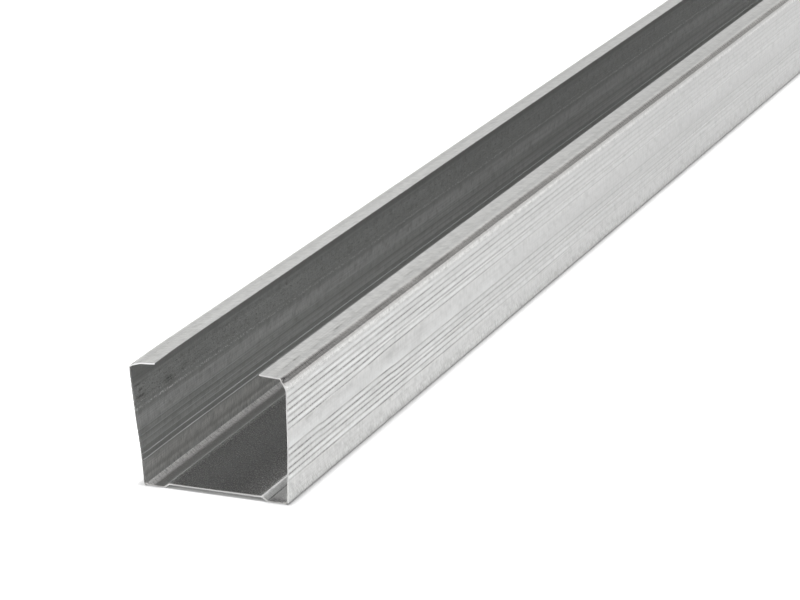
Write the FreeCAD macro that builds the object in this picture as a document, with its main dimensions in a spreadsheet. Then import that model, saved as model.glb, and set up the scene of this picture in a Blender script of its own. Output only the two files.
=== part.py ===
import FreeCAD, Part
import math
import os

import Sketcher

# The sizes of the stud, in millimetres and degrees
# It is one strip of galvanised sheet, cold-rolled into an open channel with lips and cut to length.
# It lies on its web with the open side up: X across the web, Y along the stud, Z up the flanges.
SIZES = (
    ("stud_length", 2500.0, "standard stock length"),
    ("sheet_thickness", 0.5, "zinc-coated sheet"),
    ("inside_radius", 0.5, "inside radius of every bend"),
    ("web_width", 48.8, "outside width at the web, for a 50 mm track"),
    ("side_strip", 7.0, "low flat strip each side of the web"),
    ("step_run", 1.8, "width of the slope between strip and raised middle"),
    ("step_rise", 1.2, "height of the raised middle"),
    ("flange_height", 40.0, "outside height along the flange, web to lip"),
    ("flange_splay", 3.0, "degrees each flange leans outwards"),
    ("bevel_run", 1.9, "how far the bevel comes in from the flange"),
    ("bevel_drop", 1.3, "how far the bevel comes down from the lip"),
    ("lip_width", 7.0, "lip from the bevel to its cut edge"),
    ("groove_radius", 0.4, "radius of the roller that presses a groove"),
    ("groove_depth", 0.2, "depth of a groove in the flange's outside"),
    ("ridge_radius", 1.2, "radius of the ridge's back, behind a groove"),
    ("ridge_height", 0.1, "height of a ridge above the flange's inside"),
    ("groove_pitch", 1.9, "distance between grooves of one band"),
    ("groove_count", 6.0, "grooves in one band"),
    ("first_groove", 7.5, "lowest groove above the web's outside"),
    ("band_spacing", 17.0, "from the lower band of grooves to the upper one"),
    ("band_count", 2.0, "bands of grooves on one flange"),
    ("ridge_root", 0.2, "depth under the flange's inside at which a ridge's profile starts"),
)

doc = FreeCAD.newDocument("drywall_stud")
sheet = doc.addObject("Spreadsheet::Sheet", "sizes")
for row, (alias, value, note) in enumerate(SIZES, start=1):
    sheet.set("A%d" % row, alias)
    sheet.set("B%d" % row, str(value))
    sheet.set("C%d" % row, note)
    sheet.setAlias("B%d" % row, alias)
doc.recompute()


def size(alias):
    """One size as the sheet holds it."""
    return float(sheet.get(alias))


body = doc.addObject("PartDesign::Body", "stud")
body.Label = "stud"


def origin_plane(role):
    """One of the body's own origin planes, found by its role."""
    return next(item for item in body.Origin.OriginFeatures if item.Role == role)


def flat_sketch(name):
    """A sketch of the body on its XZ plane: sketch x is X, sketch y is Z."""
    sketch = body.newObject("Sketcher::SketchObject", name)
    sketch.AttachmentSupport = [(origin_plane("XZ_Plane"), "")]
    sketch.MapMode = "FlatFace"
    return sketch


def drive(sketch, kind, refs, name, formula):
    """Adds a named constraint whose value follows the formula on the sheet's sizes."""
    value = float(sketch.evalExpression(formula))
    if kind == "Angle":
        value = math.radians(value)
    index = sketch.addConstraint(Sketcher.Constraint(kind, *refs, value))
    sketch.renameConstraint(index, name)
    sketch.setExpression("Constraints." + name, formula)


# The right half of the folded sheet's section, with sharp corners
# Two chains of lines, the sheet's outside and its inside, lie one thickness apart all the way.
half_section = flat_sketch("half_section")
half_web = size("web_width") / 2
splay = math.radians(size("flange_splay"))


def on_flange(inwards, upwards):
    """A point given by its distance in from the flange's outside and up along the flange."""
    return (
        half_web - inwards * math.cos(splay) + upwards * math.sin(splay),
        upwards * math.cos(splay) + inwards * math.sin(splay),
    )


outside = [
    (0, size("step_rise")),
    (half_web - size("side_strip") - size("step_run"), size("step_rise")),
    (half_web - size("side_strip"), 0),
    (half_web, 0),
    on_flange(0, size("flange_height") - size("bevel_drop")),
    on_flange(size("bevel_run"), size("flange_height")),
    on_flange(size("bevel_run") + size("lip_width"), size("flange_height")),
]


def offset_chain(chain, distance):
    """The chain moved to its left by the distance, its corners kept sharp."""
    moved = []
    for index, (x, z) in enumerate(chain):
        before = chain[max(index - 1, 0)], chain[max(index, 1)]
        after = chain[min(index, len(chain) - 2)], chain[min(index + 1, len(chain) - 1)]
        turns = [math.atan2(b[1] - a[1], b[0] - a[0]) for a, b in (before, after)]
        middle = math.atan2(
            math.sin(turns[0]) + math.sin(turns[1]), math.cos(turns[0]) + math.cos(turns[1])
        )
        reach = distance / math.cos(middle - turns[0])
        moved.append((x - reach * math.sin(middle), z + reach * math.cos(middle)))
    return moved


inside = offset_chain(outside, size("sheet_thickness"))


def draw_loop(sketch, corners):
    """Draws a closed chain of lines through the corners."""
    count = len(corners)
    for index in range(count):
        start = FreeCAD.Vector(*corners[index], 0)
        end = FreeCAD.Vector(*corners[(index + 1) % count], 0)
        sketch.addGeometry(Part.LineSegment(start, end))
    for index in range(count):
        sketch.addConstraint(Sketcher.Constraint("Coincident", index, 2, (index + 1) % count, 1))


draw_loop(half_section, outside + inside[::-1])
(
    OUT_MIDDLE, OUT_STEP, OUT_STRIP, OUT_FLANGE, OUT_BEVEL, OUT_LIP, LIP_END,
    IN_LIP, IN_BEVEL, IN_FLANGE, IN_STRIP, IN_STEP, IN_MIDDLE,
) = range(len(outside) + len(inside) - 1)

# A sketch counts its own axes down from -1, and the points of each line or arc up from 1
X_AXIS = -1
Y_AXIS = X_AXIS - 1
START = 1
END = START + 1
CENTRE = END + 1

for line, point in ((OUT_MIDDLE, START), (IN_MIDDLE, END)):
    half_section.addConstraint(Sketcher.Constraint("PointOnObject", line, point, Y_AXIS))
for point in (START, END):
    half_section.addConstraint(Sketcher.Constraint("PointOnObject", OUT_STRIP, point, X_AXIS))
half_section.addConstraint(Sketcher.Constraint("Horizontal", OUT_MIDDLE))
half_section.addConstraint(Sketcher.Constraint("Perpendicular", OUT_FLANGE, OUT_LIP))
half_section.addConstraint(Sketcher.Constraint("Perpendicular", OUT_LIP, LIP_END))
drive(half_section, "DistanceY", (X_AXIS, 1, OUT_MIDDLE, START), "step_rise", "sizes.step_rise")
drive(half_section, "DistanceX", (X_AXIS, 1, OUT_STRIP, END), "half_web", "sizes.web_width / 2")
drive(half_section, "DistanceX", (OUT_STRIP, START, OUT_STRIP, END), "side_strip", "sizes.side_strip")
drive(half_section, "DistanceX", (OUT_STEP, START, OUT_STEP, END), "step_run", "sizes.step_run")
drive(
    half_section, "Angle", (X_AXIS, 1, OUT_FLANGE, START), "flange_angle",
    "(90 - sizes.flange_splay) * 1 deg",
)
drive(half_section, "Distance", (OUT_FLANGE, START, OUT_LIP), "flange_height", "sizes.flange_height")
drive(half_section, "Distance", (OUT_LIP, START, OUT_FLANGE), "bevel_run", "sizes.bevel_run")
drive(half_section, "Distance", (OUT_FLANGE, END, OUT_LIP), "bevel_drop", "sizes.bevel_drop")
drive(half_section, "Distance", (OUT_LIP, START, OUT_LIP, END), "lip_width", "sizes.lip_width")
sheet_pairs = (
    ("middle", OUT_MIDDLE, IN_MIDDLE),
    ("step", OUT_STEP, IN_STEP),
    ("strip", OUT_STRIP, IN_STRIP),
    ("flange", OUT_FLANGE, IN_FLANGE),
    ("bevel", OUT_BEVEL, IN_BEVEL),
    ("lip", OUT_LIP, IN_LIP),
)
for name, outer, inner in sheet_pairs:
    half_section.addConstraint(Sketcher.Constraint("Parallel", outer, inner))
    drive(half_section, "Distance", (inner, START, outer), name + "_thickness", "sizes.sheet_thickness")
doc.recompute()

# The folded channel: half of it drawn out along the stud, and mirrored
half_channel = body.newObject("PartDesign::Pad", "half_channel")
half_channel.Profile = half_section
half_channel.Midplane = True
half_channel.setExpression("Length", "sizes.stud_length")
doc.recompute()

channel = body.newObject("PartDesign::Mirrored", "channel")
channel.Originals = [half_channel]
channel.MirrorPlane = (origin_plane("YZ_Plane"), [""])
body.Tip = channel
doc.recompute()


def long_edges(shape, corners):
    """Names of the edges that run along the stud through the corners, on both halves."""
    names = []
    for number, edge in enumerate(shape.Edges, start=1):
        first, last = edge.Vertexes[0].Point, edge.Vertexes[-1].Point
        if abs(first.y - last.y) < size("stud_length") / 2:
            continue
        for x, z in corners:
            if math.hypot(abs(first.x) - x, first.z - z) < size("sheet_thickness") / 10:
                names.append("Edge%d" % number)
    return names


# The bends: the sheet keeps its thickness round each one
# Only the bend beside the raised middle turns downwards, so its inside is under the sheet.
hollow_corners = [outside[1]] + inside[2:6]
proud_corners = [inside[1]] + outside[2:6]
inner_bends = body.newObject("PartDesign::Fillet", "inner_bends")
inner_bends.Base = (channel, long_edges(channel.Shape, hollow_corners))
inner_bends.setExpression("Radius", "sizes.inside_radius")
doc.recompute()

outer_bends = body.newObject("PartDesign::Fillet", "outer_bends")
outer_bends.Base = (inner_bends, long_edges(inner_bends.Shape, proud_corners))
outer_bends.setExpression("Radius", "sizes.inside_radius + sizes.sheet_thickness")
doc.recompute()


def flange_sketch(name):
    """A sketch in the right flange's own frame: x out of its outside face, y up along it."""
    sketch = flat_sketch(name)
    turn = FreeCAD.Rotation(FreeCAD.Vector(0, 0, 1), -size("flange_splay"))
    sketch.AttachmentOffset = FreeCAD.Placement(FreeCAD.Vector(half_web, 0, 0), turn)
    sketch.setExpression(".AttachmentOffset.Base.x", "sizes.web_width / 2")
    sketch.setExpression(".AttachmentOffset.Rotation.Angle", "-sizes.flange_splay * 1 deg")
    return sketch


# The ridge that the right flange's lowest groove raises inside the channel
# Its back is a wide, low arc on the inside face, closed by a chord within the sheet.
ridge_sketch = flange_sketch("ridge_sketch")
ridge_radius = size("ridge_radius")
ridge_centre = FreeCAD.Vector(
    ridge_radius - size("ridge_height") - size("sheet_thickness"), size("first_groove"), 0
)
root_distance = size("sheet_thickness") - size("ridge_root") + ridge_centre.x
half_angle = math.acos(root_distance / ridge_radius)
ridge_circle = Part.Circle(ridge_centre, FreeCAD.Vector(0, 0, 1), ridge_radius)
ridge_sketch.addGeometry(Part.ArcOfCircle(ridge_circle, math.pi - half_angle, math.pi + half_angle))
root_half = ridge_radius * math.sin(half_angle)
root_x = ridge_centre.x - root_distance
lower_root = FreeCAD.Vector(root_x, ridge_centre.y - root_half, 0)
upper_root = FreeCAD.Vector(root_x, ridge_centre.y + root_half, 0)
ridge_sketch.addGeometry(Part.LineSegment(lower_root, upper_root))
RIDGE_ARC, RIDGE_ROOT = range(2)
ridge_sketch.addConstraint(Sketcher.Constraint("Coincident", RIDGE_ARC, END, RIDGE_ROOT, START))
ridge_sketch.addConstraint(Sketcher.Constraint("Coincident", RIDGE_ARC, START, RIDGE_ROOT, END))
ridge_sketch.addConstraint(Sketcher.Constraint("Vertical", RIDGE_ROOT))
drive(
    ridge_sketch, "DistanceX", (X_AXIS, 1, RIDGE_ARC, CENTRE), "centre_out",
    "sizes.ridge_radius - sizes.ridge_height - sizes.sheet_thickness",
)
drive(ridge_sketch, "DistanceY", (X_AXIS, 1, RIDGE_ARC, CENTRE), "first_groove", "sizes.first_groove")
drive(ridge_sketch, "Radius", (RIDGE_ARC,), "ridge_radius", "sizes.ridge_radius")
drive(
    ridge_sketch, "DistanceX", (RIDGE_ROOT, START, X_AXIS, 1), "root_depth",
    "sizes.sheet_thickness - sizes.ridge_root",
)

# That groove, pressed into the flange's outside by a thin roller
groove_sketch = flange_sketch("groove_sketch")
groove_centre = FreeCAD.Vector(size("groove_radius") - size("groove_depth"), size("first_groove"), 0)
groove_sketch.addGeometry(Part.Circle(groove_centre, FreeCAD.Vector(0, 0, 1), size("groove_radius")))
drive(
    groove_sketch, "DistanceX", (X_AXIS, 1, 0, CENTRE), "centre_out",
    "sizes.groove_radius - sizes.groove_depth",
)
drive(groove_sketch, "DistanceY", (X_AXIS, 1, 0, CENTRE), "first_groove", "sizes.first_groove")
drive(groove_sketch, "Radius", (0,), "groove_radius", "sizes.groove_radius")
doc.recompute()

ridge = body.newObject("PartDesign::Pad", "ridge")
ridge.Profile = ridge_sketch
ridge.Midplane = True
ridge.setExpression("Length", "sizes.stud_length")
doc.recompute()

groove = body.newObject("PartDesign::Pocket", "groove")
groove.Profile = groove_sketch
groove.Midplane = True
groove.setExpression("Length", "sizes.stud_length")
doc.recompute()

# All grooves and ridges: one band of them, the bands up the flange, and then the other flange
rolled_bands = body.newObject("PartDesign::MultiTransform", "rolled_bands")
rolled_bands.Originals = [ridge, groove]


def up_the_flange(name, spacing, count):
    """A pattern along the flange, its spacing and count taken from the sheet."""
    pattern = body.newObject("PartDesign::LinearPattern", name)
    pattern.Direction = (groove_sketch, ["V_Axis"])
    pattern.Mode = "Spacing"
    pattern.setExpression("Offset", "sizes." + spacing)
    pattern.setExpression("Occurrences", "sizes." + count)
    return pattern


other_flange = body.newObject("PartDesign::Mirrored", "other_flange")
other_flange.MirrorPlane = (origin_plane("YZ_Plane"), [""])
rolled_bands.Transformations = [
    up_the_flange("grooves_in_band", "groove_pitch", "groove_count"),
    up_the_flange("bands_on_flange", "band_spacing", "band_count"),
    other_flange,
]
body.Tip = rolled_bands
doc.recompute()

# Nothing is written unless every object has computed and the stud is one sound solid
for item in doc.Objects:
    if "Invalid" in item.State or "Error" in item.State:
        raise RuntimeError("%s failed: %s" % (item.Name, item.State))
if body.Shape.isNull() or not body.Shape.isValid() or len(body.Shape.Solids) != 1:
    raise RuntimeError("the stud is not one valid solid")

os.makedirs("parts", exist_ok=True)
body.Shape.exportStep("parts/%s.step" % body.Label)
box = body.Shape.BoundBox
print("stud: %.2f x %.2f x %.2f mm" % (box.XLength, box.YLength, box.ZLength))
print("lowest point %.3f mm, volume %.0f mm3" % (box.ZMin, body.Shape.Volume))
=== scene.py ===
import math

import bpy
import numpy as np
from mathutils import Matrix, Vector


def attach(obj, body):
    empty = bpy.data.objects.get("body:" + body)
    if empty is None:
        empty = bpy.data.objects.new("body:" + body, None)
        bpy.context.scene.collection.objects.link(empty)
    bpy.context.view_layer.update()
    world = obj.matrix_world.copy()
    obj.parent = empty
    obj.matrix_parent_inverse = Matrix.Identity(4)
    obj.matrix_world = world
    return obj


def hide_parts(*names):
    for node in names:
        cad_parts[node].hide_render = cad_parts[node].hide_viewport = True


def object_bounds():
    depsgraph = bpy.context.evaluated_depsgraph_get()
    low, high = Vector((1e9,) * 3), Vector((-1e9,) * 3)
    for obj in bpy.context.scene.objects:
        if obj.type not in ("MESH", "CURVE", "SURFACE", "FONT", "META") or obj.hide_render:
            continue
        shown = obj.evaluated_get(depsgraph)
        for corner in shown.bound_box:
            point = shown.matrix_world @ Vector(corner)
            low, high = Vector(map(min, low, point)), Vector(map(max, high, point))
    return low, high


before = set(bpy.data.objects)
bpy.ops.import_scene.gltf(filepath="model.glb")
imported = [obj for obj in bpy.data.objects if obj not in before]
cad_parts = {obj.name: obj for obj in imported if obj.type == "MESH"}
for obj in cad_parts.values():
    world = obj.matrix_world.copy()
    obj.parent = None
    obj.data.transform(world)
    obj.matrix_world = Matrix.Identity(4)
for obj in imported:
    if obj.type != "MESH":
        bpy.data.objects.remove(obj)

cad_low, cad_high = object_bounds()

# The camera
# A long lens near the cut end, above the stud and to its right, at the photograph's angle.
# Its place and aim are measured in millimetres from the floor under the middle of that cut.
MM = 0.001
near_cut = Vector((0, cad_low.y, 0))
camera_place = near_cut + Vector((383.93, -677.01, 325.50)) * MM
camera_aim = near_cut + Vector((28.58, 74.85, 39.53)) * MM
camera_roll = math.radians(-2.83)
camera_data = bpy.data.cameras.new("camera")
camera_data.sensor_width = 36.0
camera_data.lens = 126.63
camera_data.clip_start = 0.01
camera_data.clip_end = 100.0
camera = bpy.data.objects.new("camera", camera_data)
turn = (camera_aim - camera_place).to_track_quat("-Z", "Y").to_matrix() @ Matrix.Rotation(camera_roll, 3, "Z")
camera.matrix_world = Matrix.Translation(camera_place) @ turn.to_4x4()
bpy.context.scene.collection.objects.link(camera)
bpy.context.scene.camera = camera
bpy.context.scene.view_settings.view_transform = "Standard"


# The floor
# Matt white paper on a light table, lit until it is blank white.
# The stud lies on it on the two low strips of its web.
def linear(hex_colour):
    """An sRGB hex colour as linear red, green, blue and alpha."""
    srgb = np.array([int(hex_colour[i:i + 2], 16) for i in (1, 3, 5)]) / 255
    flat = np.where(srgb <= 0.04045, srgb / 12.92, ((srgb + 0.055) / 1.055) ** 2.4)
    return (*flat.tolist(), 1.0)


def add_node(tree, kind, sockets, **settings):
    """Adds one node: settings are its own fields, and sockets are input values or outputs to link."""
    node = tree.nodes.new("ShaderNode" + kind)
    for name, value in settings.items():
        setattr(node, name, value)
    for name, value in sockets.items():
        if isinstance(value, bpy.types.NodeSocket):
            tree.links.new(value, node.inputs[name])
        else:
            node.inputs[name].default_value = value
    return node


def new_material(name):
    """An empty material, with its tree and its output node."""
    material = bpy.data.materials.new(name)
    material.use_nodes = True
    material.node_tree.nodes.clear()
    output = material.node_tree.nodes.new("ShaderNodeOutputMaterial")
    return material, material.node_tree, output


def new_piece(name, points, faces, material):
    """A mesh object at the origin, its place in its points."""
    mesh = bpy.data.meshes.new(name)
    mesh.from_pydata(points.reshape(-1, 3).tolist(), [], faces.tolist())
    mesh.materials.append(material)
    piece = bpy.data.objects.new(name, mesh)
    bpy.context.scene.collection.objects.link(piece)
    return piece


# The paper reaches 40 m each way, and lies a hair below the stud, so that the two never share a plane
floor_half = 40.0
floor_drop = 0.02 * MM
paper, tree, output = new_material("matt_white_paper")
shader = add_node(tree, "BsdfPrincipled", {
    "Base Color": linear("#f4f4f3"), "Roughness": 0.9, "Specular IOR Level": 0.2,
    "Emission Color": linear("#ffffff"), "Emission Strength": 0.06,
})
tree.links.new(shader.outputs["BSDF"], output.inputs["Surface"])
corners = np.array([(-1, -1, 0), (1, -1, 0), (1, 1, 0), (-1, 1, 0)]) * floor_half
corners[:, 2] = -floor_drop
floor = new_piece("floor", corners, np.array([[0, 1, 2, 3]]), paper)

# The studio light
# White paper hangs behind the stud and to its left. The right of the room is dark above a bright low strip.
# One soft lamp almost straight overhead lights the floor, so that its shadows stay close to the stud.
room_strength = 2.12
lamp_strength = 1.7
lamp_width = math.radians(4)
lamp_from = Vector((0.02, 0.02, 1.0))

# Each side's tones at elevations in degrees, and how far to the right the one side gives way to the other
right_begins = 0.05
right_is_full = 0.35
left_side = ((0, "#b8b8b7"), (30, "#b8b8b7"), (42, "#747476"), (54, "#c4c4c6"), (90, "#c4c4c6"))
right_side = (
    (0, "#ffffff"), (6, "#ffffff"), (15, "#545456"), (34, "#5a5a5c"), (50, "#c4c4c6"), (90, "#c4c4c6"),
)
world = bpy.data.worlds.new("studio")
bpy.context.scene.world = world
world.use_nodes = True
tree = world.node_tree
tree.nodes.clear()
direction = add_node(tree, "TexCoord", {})
direction_parts = add_node(tree, "SeparateXYZ", {"Vector": direction.outputs["Generated"]})
side_colours = []
for side in (left_side, right_side):
    bands = add_node(tree, "ValToRGB", {"Fac": direction_parts.outputs["Z"]})
    while len(bands.color_ramp.elements) < len(side):
        bands.color_ramp.elements.new(0.5)
    for element, (elevation, hex_colour) in zip(bands.color_ramp.elements, side):
        element.position = math.sin(math.radians(elevation))
        element.color = linear(hex_colour)
    side_colours.append(bands.outputs["Color"])
towards_right = add_node(tree, "MapRange", {
    "Value": direction_parts.outputs["X"], "From Min": right_begins, "From Max": right_is_full,
})
room = add_node(tree, "Mix", {
    "Factor": towards_right.outputs["Result"], "A": side_colours[0], "B": side_colours[1],
}, data_type="RGBA")
background = add_node(tree, "Background", {"Color": room.outputs["Result"], "Strength": room_strength})
add_node(tree, "OutputWorld", {"Surface": background.outputs["Background"]})

# The sheet's gloss shows the room alone, and not this lamp
lamp_data = bpy.data.lights.new("softbox", "SUN")
lamp_data.energy = lamp_strength
lamp_data.angle = lamp_width
lamp = bpy.data.objects.new("softbox", lamp_data)
lamp.visible_glossy = False
lamp.matrix_world = lamp_from.to_track_quat("Z", "Y").to_matrix().to_4x4()
bpy.context.scene.collection.objects.link(lamp)

# The stud
# One strip of galvanised sheet, rolled into an open channel with a stepped web, grooved flanges,
# bevels and lips, and sheared to length. It is one piece, and its sizes here are in millimetres.
thickness = 0.5
inside_radius = 0.5
foot_radius = 0.2
web_width = 48.8
side_strip = 7.0
step_run = 1.8
step_rise = 1.2
flange_height = 40.0
flange_splay = math.radians(3.0)
bevel_run = 1.9
bevel_drop = 1.3
lip_width = 7.0

# Half of the section's outside, from the web's middle to the lip's edge, and which of its corners is the foot
half_web = web_width / 2
flange_up = np.array([math.sin(flange_splay), math.cos(flange_splay)])
flange_in = np.array([-math.cos(flange_splay), math.sin(flange_splay)])
flange_foot = np.array([half_web, 0.0])
outside = np.array([
    (0, step_rise),
    (half_web - side_strip - step_run, step_rise),
    (half_web - side_strip, 0),
    flange_foot,
    flange_foot + flange_up * (flange_height - bevel_drop),
    flange_foot + flange_up * flange_height + flange_in * bevel_run,
    flange_foot + flange_up * flange_height + flange_in * (bevel_run + lip_width),
])
foot_corner = 3

# The strip's own line, midway through its thickness, as flats joined by bends
# At each corner a flat loses half a thickness and the bend's radius, times the tangent of half the turn.
runs = np.diff(outside, axis=0)
headings = np.arctan2(runs[:, 1], runs[:, 0])
half_turns = np.concatenate([[0], np.diff(headings) / 2, [0]])
bend_radii = np.full(len(half_turns), inside_radius + thickness / 2)
bend_radii[foot_corner] = foot_radius + thickness / 2
corner_loss = thickness / 2 * np.tan(half_turns) + bend_radii * np.tan(np.abs(half_turns))
flats = np.hypot(*runs.T) - corner_loss[:-1] - corner_loss[1:]
bends = (2 * bend_radii * np.abs(half_turns))[1:-1]
stretches = np.zeros(2 * len(flats) - 1)
stretches[0::2] = flats
stretches[1::2] = bends
knots = np.concatenate([[0], np.cumsum(stretches)])
middle_end, step_start, step_end, strip_start, strip_end, flange_start, flange_end = knots[1:8]
bevel_start, bevel_end, lip_start, lip_end = knots[8:]

# Heights up the flange count from here, where its foot would be if the bend were sharp
flange_zero = flange_start - (foot_radius + thickness) * math.tan(half_turns[foot_corner])
short_steps = 20001


def strip_line(across):
    """The folded strip's middle line and the direction into the channel, at distances from the web's middle.
    Its heading is constant on each flat and turns evenly through each bend. The line is the heading's
    integral, summed over many short steps."""
    fine = np.linspace(0, lip_end, short_steps)
    heading = np.interp(fine, knots, np.repeat(headings, 2))
    step = fine[1]
    middle = (heading[1:] + heading[:-1]) / 2
    x = np.concatenate([[0], np.cumsum(np.cos(middle)) * step])
    z = np.concatenate([[0], np.cumsum(np.sin(middle)) * step]) + step_rise + thickness / 2
    side = np.sign(across)
    distance = np.abs(across)
    turn_here = np.interp(distance, fine, heading)
    line = np.stack([np.interp(distance, fine, x) * side, np.interp(distance, fine, z)], axis=-1)
    inwards = np.stack([-np.sin(turn_here) * side, np.cos(turn_here)], axis=-1)
    return line, inwards


def up_flange(*marks):
    """Marks given at heights up the flange, with their places counted from the web's middle instead."""
    return [(flange_zero + height, mark) for height, mark in marks]


def joined(places, marks):
    """Values at these places, joined straight between marks, each of which is a place and its value."""
    return np.interp(places, *np.array(marks).T)


def hump(offset):
    """A raised cosine, half of one plus the cosine of pi times the offset: 1 in the middle, 0 beyond 1."""
    return np.where(np.abs(offset) < 1, (1 + np.cos(np.pi * offset)) / 2, 0)


# The rollers' grooves, in two bands on each flange, and the low ridges behind them
# The two lowest ridges stand up thin and clear, and those of the upper band hardly show.
groove_count = 6
groove_depth = 0.12
groove_half_width = 0.5
groove_pitch = 1.9
first_groove = 7.5
band_spacing = 17.0
band = first_groove + np.arange(groove_count) * groove_pitch
groove_places = flange_zero + np.concatenate([band, band + band_spacing])
groove_sides = np.concatenate([-groove_places, groove_places])
ridge_heights = np.tile([0.2, 0.2, 0.07, 0.08, 0.09, 0.1] + [0.02] * groove_count, 2)
ridge_half_widths = np.tile([0.28, 0.28, 0.4, 0.4, 0.4, 0.4] + [0.7] * groove_count, 2)

# Where the strip's points are across it: on each flat, round each bend, over each groove, and where the marks
# of rolling and handling and the painted light and shade begin and end
smallest_gap = 0.03
flat_steps = np.linspace(0, 1, 6)
bend_steps = np.linspace(0, 1, 7)
groove_steps = np.array([-0.8, -0.5, -0.35, -0.22, -0.1, 0, 0.1, 0.22, 0.35, 0.5])
mark_steps = (
    (middle_end, (-1.5, -0.2)), (step_start, (0.2,)), (step_end, (-0.15,)), (strip_start, (0.2, 0.5)),
    (strip_end, (-3.5, -2.2, -1.6, -1.2, -0.8, -0.4)),
    (flange_zero, (1.3, 1.7, 2.1, 6.5, 6.9, 17.7, 22, 22.5, 23.1, 23.4, 30.2, 31.8, 35.2, 36, 36.8)),
    (lip_start, (0.6, 1.0, 2.0, 2.3, 2.6, 2.9, 3.2)),
)
half_across = np.concatenate(
    [start + flat_steps * (end - start) for start, end in zip(knots[0::2], knots[1::2])]
    + [start + bend_steps * (end - start) for start, end in zip(knots[1::2], knots[2::2])]
    + [start + np.array(steps) for start, steps in mark_steps]
    + [(groove_places[:, None] + groove_steps).ravel()]
)
half_across = np.unique(np.round(half_across, 3))
half_across = half_across[np.concatenate([[True], np.diff(half_across) > smallest_gap])]
across = np.concatenate([-half_across[:0:-1], half_across])

# Where its rings are along it: close together at the near cut, where the shear bent it, and wider beyond
length = (cad_high.y - cad_low.y) / MM
edge_reach = 0.06
rings = np.concatenate([
    [0, edge_reach, 0.3, 0.6, 0.9, 1.3, 1.8, 2.4, 3.1, 4, 5, 6, 7.5, 9, 11, 13, 15, 17.5, 20, 21, 22, 23, 24],
    np.arange(28, 130, 4), np.arange(130, 500, 18), np.arange(500, length - 20, 100),
    [length - 10, length - 2, length - edge_reach, length],
])


def drift(rows, spacing, seed):
    """Slow random change along the stud, from -1 to 1, in several independent rows over the rings.
    Random numbers stand at even spacing, and half a cosine wave joins each to the next."""
    values = np.random.default_rng(seed).uniform(-1, 1, (rows, int(length / spacing) + 2))
    first = np.floor(rings / spacing).astype(int)
    share = (1 - np.cos(np.pi * (rings / spacing - first))) / 2
    return values[:, first] * (1 - share) + values[:, first + 1] * share


def roller_relief(heights, half_widths, strength):
    """How far the rollers push one face into the channel, over the rings and the places across the strip.
    Over each groove it is a raised cosine of that half width. Its height is the given one times the groove's
    strength at that ring."""
    offset = (across[:, None] - groove_sides) / half_widths
    return (strength.T * heights) @ hump(offset).T


groove_drift = drift(len(groove_sides), spacing=12, seed=3)
ridge_drift = drift(len(groove_sides), spacing=30, seed=4)
groove_relief = roller_relief(groove_depth, groove_half_width, 0.75 + 0.25 * groove_drift)
ridge_relief = roller_relief(ridge_heights, ridge_half_widths, 0.9 + 0.1 * ridge_drift)

# Inside the bend at each flange's foot the sheet is fuller than in the others
foot_fill = 0.4
foot_half_width = 1.6
foot_middle = (strip_end + flange_start) / 2
ridge_relief = ridge_relief + foot_fill * hump((np.abs(across) - foot_middle) / foot_half_width)

# The rolls stood up to 0.85 mm off their even places, and on the right flange some jog along the stud
# Each jog has its distance from the cut, how gradual it is, its jump, and the lowest and highest place up the
# flange that it reaches. It is a logistic step along the stud, and fades out over a millimetre beyond them.
left_shift = -0.63
right_shift = joined(across, up_flange(
    (7.5, 0.27), (11.3, 0.43), (13.2, 0.6), (17, 0.85), (24.5, -0.45), (34, 0.05),
))
jogs = np.array([(22, 0.8, -0.36, 13, 18), (73, 0.8, -0.3, 13, 18), (58, 6, 0.75, 23.5, 26.9)])
jog_ring, jog_length, jump, jog_low, jog_high = jogs.T[:, :, None, None]
jump_along = jump / (1 + np.exp(np.clip(-(rings[:, None] - jog_ring) / jog_length, -50, 50)))
past_jog = np.maximum(flange_zero + jog_low - across, across - flange_zero - jog_high)
jumps = (jump_along * np.clip(1 - past_jog, 0, 1)).sum(axis=0)
wander = np.where(across > 0, right_shift + jumps, left_shift)
wander_reach = joined(np.abs(across), (
    (flange_start, 0), (flange_start + 4, 1), (flange_end - 6, 1), (flange_end - 3, 0),
))

# What the shear and handling did to the near end
# Each dent has its side, place across, place along, spread across, spread along, and how far it pushes the
# sheet outwards and upwards. The first bends the right flange's top corner in, the last the left one down.
bow_depth = 0.06
bow_reach = 40
top_lean = 0.2
lean_height = 3.5
dents = np.array([
    (1, (flange_end + bevel_start) / 2, 0, 1.5, 1.9, -0.95, -0.15),
    (1, flange_zero + 17.6, 0, 9, 22, 0.29, 0),
    (1, lip_start + 3, 0, 4, 6, 0, -0.1),
    (-1, flange_zero + 10, 0, 8, 16, -0.3, 0),
    (-1, lip_start + 4, 0, 6, 9, 0, -0.4),
    (-1, (bevel_end + lip_start) / 2, 0, 1.4, 3.5, 0, -0.55),
])


def handling_marks():
    """How far the strip is pushed outwards and upwards, over the rings and the places across it.
    Each dent is a bell in both directions, exp(-(distance / spread) ** 2). The flanges also bow in a little,
    and their top few millimetres lean in as the square of the height, where the bevel rollers drew them."""
    side, place, ring, spread, reach, outwards, upwards = dents.T[:, :, None, None]
    bell = np.exp(-((across - side * place) / spread) ** 2 - ((rings[:, None] - ring) / reach) ** 2)
    bow = -bow_depth * (1 + drift(2, spacing=70, seed=5)) * (1 - np.exp(-rings / bow_reach))
    bow_share = joined(np.abs(across), ((flange_start, 0), (flange_end, 1)))
    drawn_in = -top_lean * joined(np.abs(across), ((flange_end - lean_height, 0), (flange_end, 1))) ** 2
    outwards_here = np.where(across < 0, bow[0][:, None], bow[1][:, None]) * bow_share + drawn_in
    sideways = (side * outwards * bell).sum(axis=0) + outwards_here * np.sign(across)
    return np.stack([sideways, (upwards * bell).sum(axis=0)], axis=-1)


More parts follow.
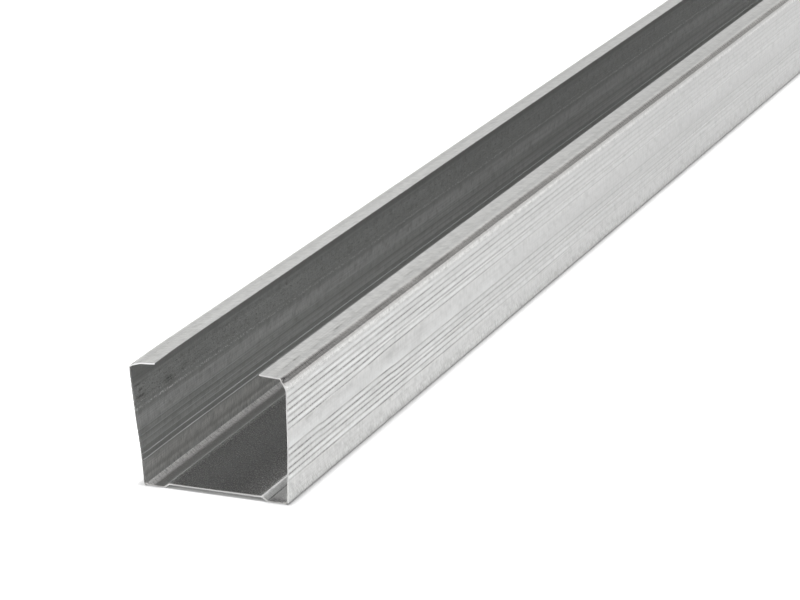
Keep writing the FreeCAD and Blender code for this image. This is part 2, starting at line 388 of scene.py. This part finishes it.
# Both faces of the strip, as grids over the rings and the places across it
# Each point is the middle line, moved inwards by the relief and half a thickness, plus or minus, and by the
# dents. The sheared edges are rounded by drawing in the first and the last ring.
edge_round = 0.05
line, inwards = strip_line(across + wander * wander_reach)
half_thickness = np.full((len(rings), 1), thickness / 2)
half_thickness[[0, -1]] -= edge_round
marks = handling_marks()
ring_grid = np.broadcast_to(rings[:, None], (len(rings), len(across)))


def strip_face(offset):
    """One face of the strip, that far inwards from its middle line."""
    section = line + inwards * offset[..., None] + marks
    return np.stack([section[..., 0], ring_grid, section[..., 1]], axis=-1)


outer_face = strip_face(groove_relief - half_thickness)
inner_face = strip_face(ridge_relief + half_thickness)
loop = np.concatenate([outer_face, inner_face[:, ::-1]], axis=1)
points = loop * MM + np.array(near_cut)

ring_count, loop_count = loop.shape[:2]
here = np.arange(ring_count * loop_count).reshape(ring_count, loop_count)
there = np.roll(here, -1, axis=1)
sides = np.stack([here[:-1], here[1:], there[1:], there[:-1]], axis=-1).reshape(-1, 4)
outer_index = here[:, :len(across)]
inner_index = here[:, :len(across) - 1:-1]


def cut_faces(ring, order):
    """The quads of one sheared end, each from the strip's outer face to its inner one. An order of 1 or -1
    takes their corners forwards or backwards, so that they face outwards."""
    quads = np.stack([outer_index[ring, :-1], inner_index[ring, :-1],
                      inner_index[ring, 1:], outer_index[ring, 1:]], axis=-1)
    return quads[:, ::order]


faces = np.concatenate([sides, cut_faces(0, -1), cut_faces(-1, 1)])

# Where each mark of rolling and handling and each painted shade lies: lists of places across the strip, each
# with its strength there
# Rough is the shader's roughness, and scuffed, stroked and dotted are marks in the zinc coat further below.
nowhere = ((0, 0), (lip_end, 0))
outer_rough = (
    (0, 0.34), (bevel_start, 0.34), (bevel_start + 0.2, 0.28), (bevel_end, 0.28), (lip_start, 0.36),
)
inner_rough = (
    (0, 0.24), (middle_end - 0.2, 0.24), (middle_end, 0.2), (step_start, 0.2), (step_start + 0.2, 0.6),
    (step_end, 0.6), (strip_start + 0.3, 0.42), (strip_end - 3.2, 0.42), (strip_end - 2.2, 0.74),
    (strip_end, 0.78), (flange_start, 0.5),
    *up_flange(
        (1.7, 0.44), (6.5, 0.44), (6.9, 0.34), (17.7, 0.34), (18.2, 0.44), (22, 0.44), (22.5, 0.34),
        (31.8, 0.34), (32.6, 0.36),
    ),
    (lip_end, 0.36),
)
bevel_streak = (
    (flange_end, 0), (bevel_start + 0.5, 0.25), (bevel_start + 0.9, 1), (bevel_end - 0.4, 0.9),
    (bevel_end, 0.3), (lip_start, 0),
)
outer_scuffed = (
    *up_flange((35.2, 0), (36, 0.5), (36.8, 0.8)), (flange_end - 0.4, 0.5), (flange_end, 0),
    (lip_start + 0.6, 0), (lip_start + 1.0, 0.35), (lip_start + 2.6, 0.35), (lip_start + 3.2, 0),
)
inner_scuffed = up_flange((24.5, 0), (25.5, 0.7), (30.2, 0.7), (31.8, 0))
outer_stroked = (
    (strip_end, 0), (flange_start, 0.7), *up_flange((4, 0.5), (6.5, 0.1)), (flange_end - 3, 0.1),
    (flange_end - 1, 0.15), (bevel_start, 1), (bevel_end, 1), (lip_start, 0.2), (lip_end, 0.2),
)
inner_stroked = (
    (strip_end - 3.5, 0), (strip_end - 1.6, 1.1), (flange_start, 1.1),
    *up_flange((1.7, 0.6), (6.5, 0.5), (6.9, 0.1)), (lip_end, 0.1),
)
# Painted shade: a dark line along the right step's foot, and a painted dark reflection on the right low strip
# near the cut
right_step_foot_painted_shade = ((step_end - 0.15, 0), (step_end, 1.4), (strip_start, 1.4), (strip_start + 0.2, 0))
right_low_strip_painted_shade = ((strip_start, 0), (strip_start + 0.5, 1.2), (strip_end, 1.2), (flange_start, 0))
right_step_rough = (
    (middle_end - 0.1, 0), (middle_end, 0.5), (step_start, 0.5), (step_start + 0.2, -0.02), (step_end, -0.02),
    (strip_start, 0), (strip_start + 0.5, 0.2), (strip_end - 3.5, 0.2), (strip_end - 2.2, 0),
)
inner_dotted = (
    (0, 0.22), (middle_end - 1, 0.35), (strip_start, 0.2), (strip_end, 0.6), (flange_start, 0),
    *up_flange(
        (22.5, 0.1), (23.1, 0.1), (23.3, 6), (23.6, 6), (23.8, 0.2), (24.9, 0.2), (25.1, 2.5), (25.3, 2.5),
        (25.5, 0.3), (30.2, 0.3), (31.8, 0),
    ),
)


def on_both_faces(outer, inner):
    """Values along the loop of both faces, from one face's marks along it and from the other's back again."""
    distance = np.abs(across)
    return np.concatenate([joined(distance, outer), joined(distance, inner)[::-1]])


def over_rings(*values):
    """Three values of the loop's points, each a row or a full grid, as one vector for every point."""
    grids = [np.broadcast_to(value, (ring_count, loop_count)) for value in values]
    return np.stack(grids, axis=-1)


# Each point's place on the strip, and its face as a third distance, so that patterns differ on the two faces
face_gap = 50.0
across_loop = np.concatenate([across, across[::-1]])
face_number = on_both_faces(nowhere, ((0, face_gap), (lip_end, face_gap)))
inner_side = face_number > 0
strip_place = over_rings(across_loop, rings[:, None], face_number)

# The painted groove shade and the painted ridge and crown highlights are fainter away from the cut
painted_line_fade = joined(rings, ((60, 1), (160, 0.5), (320, 0.15)))


def groove_lines(above, half_width, seed):
    """How strong a painted line along each groove is, over the rings and the places across the strip.
    Across it, it is a raised cosine of that half width, that far above the groove's middle. Along it, its
    strength drifts at random, and fades away from the cut."""
    offset = (np.abs(across[:, None]) - np.abs(groove_sides) - above) / half_width
    same_side = np.sign(across[:, None]) == np.sign(groove_sides)
    line_strength = np.clip(1.0 + 0.75 * drift(len(groove_sides), spacing=10, seed=seed), 0.15, 1.6)
    return (line_strength * painted_line_fade).T @ (hump(offset) * same_side).T


# Single scuffs, each with its face, 1 inside the channel and 0 outside, its side, place across, place along,
# spread across, spread along and depth
scuffs = np.array([
    (1, -1, flange_zero + 30.8, 3, 0.35, 1.8, 0.8), (1, -1, flange_zero + 28.8, 4, 0.4, 1.3, 0.9),
    (1, -1, flange_zero + 26.9, 3.8, 0.45, 2.4, 1), (1, -1, flange_zero + 27.3, 19.5, 0.3, 1.8, 0.7),
    (1, -1, flange_zero + 26.5, 20.5, 0.35, 2.6, 0.9), (1, -1, flange_zero + 25.6, 21.5, 0.3, 3.0, 0.8),
    (0, 1, flange_zero + 23.3, 14, 0.7, 2.8, 0.4), (0, 1, flange_zero + 23.3, 30, 0.7, 2.2, 0.4),
    (0, 1, flange_zero + 22.9, 42, 0.9, 2.4, 0.25), (0, 1, flange_zero + 21.8, 71, 1.6, 4, 0.25),
    (0, 1, flange_zero + 20.6, 79, 2.2, 7, 0.22), (0, 1, flange_zero + 22, 96, 1.4, 5, 0.2),
    (0, 1, lip_start + 2.4, 9, 0.25, 2.6, 0.6), (0, 1, lip_start + 2.5, 15.5, 0.3, 2.4, 0.9),
    (0, 1, lip_start + 2.0, 27, 0.25, 2.4, 0.5), (0, 1, lip_start + 2.4, 45, 0.35, 2.6, 1.3),
    (0, 1, lip_start + 2.6, 62, 0.35, 1.8, 1.2), (0, 1, lip_start + 2.6, 98, 0.3, 2.5, 0.8),
    (0, -1, lip_start + 4.6, 36, 0.3, 3, 0.8), (0, -1, lip_start + 5.0, 71, 0.3, 3, 0.8),
])


def single_scuffs():
    """How dark the single scuffs are, over the rings and the loop of both faces.
    Each is a bell in both directions, exp(-(distance / spread) ** 4), on one face of one flange."""
    face, side, place, ring, spread, reach, depth = scuffs.T[:, :, None, None]
    bell = np.exp(-((across_loop - side * place) / spread) ** 4 - ((rings[:, None] - ring) / reach) ** 4)
    return ((face == inner_side) * depth * bell).sum(axis=0)


# Where some of the marks lie: at the cut or near it, and on which part of the strip
cut_rub_reach = 2.8
at_the_cut = rings[:, None] == 0
near_the_cut = np.exp(-(rings[:, None] / cut_rub_reach) ** 4)
right_side_of_web = across_loop > 0
right_inside = (across_loop > flange_start) & inner_side
left_flange = (across_loop < -flange_start) & (across_loop > -flange_end)
left_lip = across_loop < -flange_end

# Burnished zinc, rubbed dark, and painted shade: painted shade in the grooves, a rubbed streak on the bevels,
# scuffs, and a painted shade line and a painted dark reflection on the right step's foot and low strip.
# The left flange's cut edge is the darkest: more than full strength covers it between the strokes too.
inner_line_share = 0.25
streak_reach = 35
left_cut_darkening = 3.0
lines = groove_lines(above=0.05, half_width=0.4, seed=11)
line_share = np.where(inner_side, inner_line_share, 1.0)
streak_drift = drift(1, spacing=13, seed=13)[0]
streak_strength = np.clip(0.5 + 0.5 * streak_drift + 0.9 * np.exp(-(rings / streak_reach) ** 2), 0, 1)
rubbed_and_painted_shade = np.concatenate([lines, lines[:, ::-1]], axis=1) * line_share
rubbed_and_painted_shade = rubbed_and_painted_shade + on_both_faces(bevel_streak, nowhere) * streak_strength[:, None] + single_scuffs()
right_web_painted_shade = on_both_faces(nowhere, right_step_foot_painted_shade) + on_both_faces(nowhere, right_low_strip_painted_shade) * near_the_cut
rubbed_and_painted_shade = np.clip(rubbed_and_painted_shade + right_web_painted_shade * right_side_of_web, 0, 1)
rubbed_and_painted_shade = np.where(at_the_cut, left_cut_darkening * left_flange, rubbed_and_painted_shade)

# Polished zinc and painted highlights, bright: painted highlights on the crowns between the grooves, on the
# ridges behind them and on the left lip's cut edge, and polished zinc on the right flange's inside
crown_shine = 0.28
cut_lip_shine = 0.5
ridge_line_above = 0.12
ridge_line_half_width = 0.24
crowns = groove_lines(above=groove_pitch / 2, half_width=0.7, seed=12)
ridge_shine = joined(groove_places, up_flange((17.5, 0.75), (24, 0.2)))
ridge_offset = (np.abs(across[:, None]) - groove_places - ridge_line_above) / ridge_line_half_width
ridge_lines = painted_line_fade[:, None] * (hump(ridge_offset) @ ridge_shine)
polished_and_painted_highlight = np.concatenate([crowns * crown_shine, ridge_lines[:, ::-1]], axis=1)
cut_shine = np.where(left_lip, cut_lip_shine, 0)
polished_and_painted_highlight = np.where(at_the_cut, cut_shine, np.clip(polished_and_painted_highlight + right_inside, 0, 1))

# Roughness, wear, and painted shade that darkens the zinc further along the stud, a little more inside its
# left half. The painted distance shade holds one number alone, as the first of its three.
right_inside_rough = 0.22
far_shade_share = 0.2
left_inside_far_shade_share = 0.3
rough = np.where(right_inside, right_inside_rough, on_both_faces(outer_rough, inner_rough))
rough = rough + on_both_faces(nowhere, right_step_rough) * right_side_of_web
finish_and_painted_light = over_rings(rubbed_and_painted_shade, polished_and_painted_highlight, rough)
wear = over_rings(
    on_both_faces(outer_scuffed, inner_scuffed), on_both_faces(outer_stroked, inner_stroked),
    on_both_faces(nowhere, inner_dotted),
)
painted_shade_far = joined(rings, ((100, 0), (350, 1)))[:, None]
painted_shade_far = painted_shade_far * np.where(inner_side & (across_loop < 0), left_inside_far_shade_share, far_shade_share)
painted_distance_shade = over_rings(painted_shade_far, 0, 0)

# The zinc coat
# Hot-dip zinc on cold-rolled steel, satin and slightly uneven. Its bands along the strip, brighter or duller,
# are partly the coat's tone and partly painted light and shade. The rolls rub the bevels brownish; the cold
# rolling leaves fine grain across it.
# Outside: the dark stops in the foot bend are painted contact shade, and the near-white stop where the bevel
# meets the lip is a painted highlight.
outer_tones_and_painted_light = (
    (0, "#cdcecd"), (strip_end - 0.5, "#cdcecd"), (strip_end, "#7c7c7b"), (foot_middle, "#8c8c8b"),
    (flange_start, "#dedfdd"),
    *up_flange(
        (1.3, "#dedfdd"), (2.2, "#dadbd9"), (3.5, "#d8d8d7"), (6.5, "#d5d5d4"), (18, "#bebebd"),
        (19, "#c2c2c1"), (23, "#cacac9"), (24, "#cbcbca"), (34.6, "#c0c0bf"), (36.1, "#bebebd"),
        (37.2, "#e6e6e4"),
    ),
    (flange_end - 0.6, "#d8d8d6"), (flange_end - 0.1, "#b8b7b5"), ((flange_end + bevel_start) / 2, "#aeaca9"),
    (bevel_start + 0.2, "#bcbab6"), (bevel_start + 0.8, "#c4c1bd"),
    (bevel_end - 0.5, "#d8d5d0"), (bevel_end, "#f0eeeb"), ((bevel_end + lip_start) / 2, "#e8e7e5"),
    (lip_start + 0.2, "#d8d8d6"), (lip_start + 0.8, "#d0d0cf"), (lip_start + 1.8, "#cbcbca"),
    (lip_start + 2.6, "#d6d6d4"), (lip_end, "#d9d9d8"),
)
# Inside: painted highlights at the web's bends into the steps, on the low strips by the foot bends and in
# bright lines up the flanges; painted shade in the foot bends and over the middle of the web deep in the
# channel.
inner_tones_and_painted_light = (
    (0, "#b4b3b0"), (middle_end - 1.5, "#b3b1ae"), (middle_end, "#f4f4f2"), (step_start + 0.1, "#d8d7d5"),
    (step_end, "#cfcfcd"), (strip_start + 0.8, "#b3b2af"), (strip_end - 3.4, "#aba9a6"),
    (strip_end - 1.9, "#dcdad6"), (strip_end, "#e2e0dc"), (foot_middle, "#949390"), (flange_start, "#c6c6c4"),
    *up_flange(
        (1.5, "#d2d2d0"), (2.1, "#f3f3f0"), (3.0, "#c4c4c2"), (5.0, "#f8f7f4"), (6.9, "#dcdcda"),
        (7.4, "#aeaead"), (9.2, "#b9bab9"), (11.0, "#c1c2c1"), (11.9, "#eaebea"), (12.8, "#d1d2d1"),
        (13.9, "#dcdddc"), (14.9, "#b9bab9"), (16.0, "#e6e7e6"), (17.3, "#d5d6d5"), (17.9, "#f8f8f8"),
        (21.2, "#f8f8f8"), (22.5, "#cccdcc"), (29.6, "#e4e5e4"), (30.9, "#cdcecd"), (31.5, "#e0e1e0"),
        (32.2, "#bababa"),
    ),
)

# Each grain's size in millimetres across the strip and along it, its slant in radians, and how much finer
# detail it has. The flour is a bloom of zinc far too fine to show, drawn as coarse as it needs to.
grain_sizes = {
    "cross grain": (3.5, 0.6, 0.0, 3.0),
    "roll lines": (0.4, 60.0, 0.0, 2.0),
    "blotches": (2.4, 5.0, 0.5, 4.0),
    "strokes": (3.5, 0.5, -0.6, 2.0),
    "dashes": (0.5, 2.6, 0.0, 1.0),
    "dots": (0.4, 0.55, 0.0, 0.0),
    "flour": (0.5, 0.5, 0.0, 2.0),
}
face_grain = 10.0

zinc, tree, output = new_material("galvanised_steel_sheet")
vectors = {}
parts = {}
for name in ("strip", "finish_and_painted_light", "wear", "painted_distance_shade"):
    vectors[name] = add_node(tree, "Attribute", {}, attribute_name=name).outputs["Vector"]
    parts[name] = add_node(tree, "SeparateXYZ", {"Vector": vectors[name]}).outputs
rubbed_and_painted_shade_here, polished_and_painted_highlight_here, rough_here = parts["finish_and_painted_light"]
scuffed_here, stroked_here, dotted_here = parts["wear"]
painted_shade_far_here = parts["painted_distance_shade"]["X"]

distance = add_node(tree, "Math", {0: parts["strip"]["X"]}, operation="ABSOLUTE")
place_across = add_node(tree, "MapRange", {"Value": distance.outputs["Value"], "From Max": lip_end})
is_inner = add_node(tree, "MapRange", {
    "Value": parts["strip"]["Z"], "From Min": 0.4 * face_gap, "From Max": 0.6 * face_gap,
})
face_colours = []
for side in (outer_tones_and_painted_light, inner_tones_and_painted_light):
    bands = add_node(tree, "ValToRGB", {"Fac": place_across.outputs["Result"]})
    while len(bands.color_ramp.elements) < len(side):
        bands.color_ramp.elements.new(1.0)
    for element, (place, hex_colour) in zip(bands.color_ramp.elements, side):
        element.position = place / lip_end
        element.color = linear(hex_colour)
    face_colours.append(bands.outputs["Color"])
sheet_colour = add_node(tree, "Mix", {
    "Factor": is_inner.outputs["Result"], "A": face_colours[0], "B": face_colours[1],
}, data_type="RGBA")

grains = {}
for name, (across_mm, along_mm, slant, detail) in grain_sizes.items():
    grain_place = add_node(tree, "Mapping", {
        "Vector": vectors["strip"], "Rotation": (0.0, 0.0, slant), "Scale": (across_mm, along_mm, face_grain),
    }, vector_type="TEXTURE")
    noise = add_node(tree, "TexNoise", {
        "Vector": grain_place.outputs["Vector"], "Scale": 1.0, "Detail": detail, "Roughness": 0.6,
    })
    grains[name] = noise.outputs["Fac"]

# Each layer over the sheet's colour: its grain, the grain's range from none to full, how strongly it covers
# there, what limits it to its places, and its colour. The last is the pale dots of dry zinc.
layers = (
    ("cross grain", 0.3, 0.7, 0.45, 1.0, "#a9a9a8"),
    ("roll lines", 0.4, 0.65, 0.35, 1.0, "#a6a6a5"),
    ("blotches", 0.5, 0.66, 0.45, 1.0, "#a8a8a7"),
    # Painted shade, darker further along the stud
    ("cross grain", 0.0, 0.2, 1.0, painted_shade_far_here, "#6c6c6c"),
    ("flour", 0.35, 0.65, 0.08, is_inner.outputs["Result"], "#8f8f8e"),
    # Polished zinc and painted highlights
    ("blotches", 0.1, 0.3, 1.0, polished_and_painted_highlight_here, "#fbfdfd"),
    ("strokes", 0.5, 0.6, 0.5, stroked_here, "#858380"),
    # Rubbed strokes, with painted shade in the grooves and at the right step
    ("strokes", 0.8, 0.4, 1.0, rubbed_and_painted_shade_here, "#6a6968"),
    ("dashes", 0.6, 0.68, 0.7, scuffed_here, "#7f7d7b"),
    ("dots", 0.38, 0.28, 0.6, scuffed_here, "#7f7d7b"),
    ("dots", 0.57, 0.74, 1.0, dotted_here, "#f6f6f5"),
)
colour = sheet_colour.outputs["Result"]
for name, low, high, cover, limit, hex_colour in layers:
    amount = add_node(tree, "MapRange", {
        "Value": grains[name], "From Min": low, "From Max": high, "To Max": cover,
    })
    limited = add_node(tree, "Math", {0: amount.outputs["Result"], 1: limit}, operation="MULTIPLY",
                       use_clamp=True)
    layer = add_node(tree, "Mix", {
        "Factor": limited.outputs["Value"], "A": colour, "B": linear(hex_colour),
    }, data_type="RGBA")
    colour = layer.outputs["Result"]
dots_here = limited.outputs["Value"]

# The coat's roughness follows the cross grain a little, and its dry dots are rougher
# Where it is roughest it scatters light as paint does, so there it counts as less of a metal.
grain_rough = 0.05
extra_dot_rough = 0.35
dry_begins = 0.52
dry_is_full = 0.75
dry_metal = 0.2
grain_relief = 0.015 * MM
uneven = add_node(tree, "MapRange", {
    "Value": grains["cross grain"], "From Min": 0.3, "From Max": 0.7, "To Min": -grain_rough,
    "To Max": grain_rough,
})
sheet_rough = add_node(tree, "Math", {0: rough_here, 1: uneven.outputs["Result"]}, operation="ADD")
full_rough = add_node(tree, "Math", {
    0: dots_here, 1: extra_dot_rough, 2: sheet_rough.outputs["Value"],
}, operation="MULTIPLY_ADD")
bare_metal = add_node(tree, "MapRange", {
    "Value": full_rough.outputs["Value"], "From Min": dry_begins, "From Max": dry_is_full, "To Min": 1.0,
    "To Max": dry_metal,
})
grain_height = add_node(tree, "Math", {0: grains["cross grain"], 1: grains["roll lines"]}, operation="ADD")
relief = add_node(tree, "Bump", {
    "Height": grain_height.outputs["Value"], "Strength": 0.25, "Distance": grain_relief,
})
shader = add_node(tree, "BsdfPrincipled", {
    "Base Color": colour, "Metallic": bare_metal.outputs["Result"], "Roughness": full_rough.outputs["Value"],
    "Normal": relief.outputs["Normal"],
})
tree.links.new(shader.outputs["BSDF"], output.inputs["Surface"])

# The mesh, with the shader's attributes at its points, shaded smooth but at the sheared edges
sharp_angle = math.radians(40)
stud = new_piece("stud_sheet", points, faces, zinc)
for name, values in (("strip", strip_place), ("finish_and_painted_light", finish_and_painted_light), ("wear", wear), ("painted_distance_shade", painted_distance_shade)):
    attribute = stud.data.attributes.new(name, "FLOAT_VECTOR", "POINT")
    attribute.data.foreach_set("vector", values.astype(np.float32).ravel())
stud.data.shade_smooth()
stud.data.set_sharp_from_angle(angle=sharp_angle)
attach(stud, "root")
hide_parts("stud")
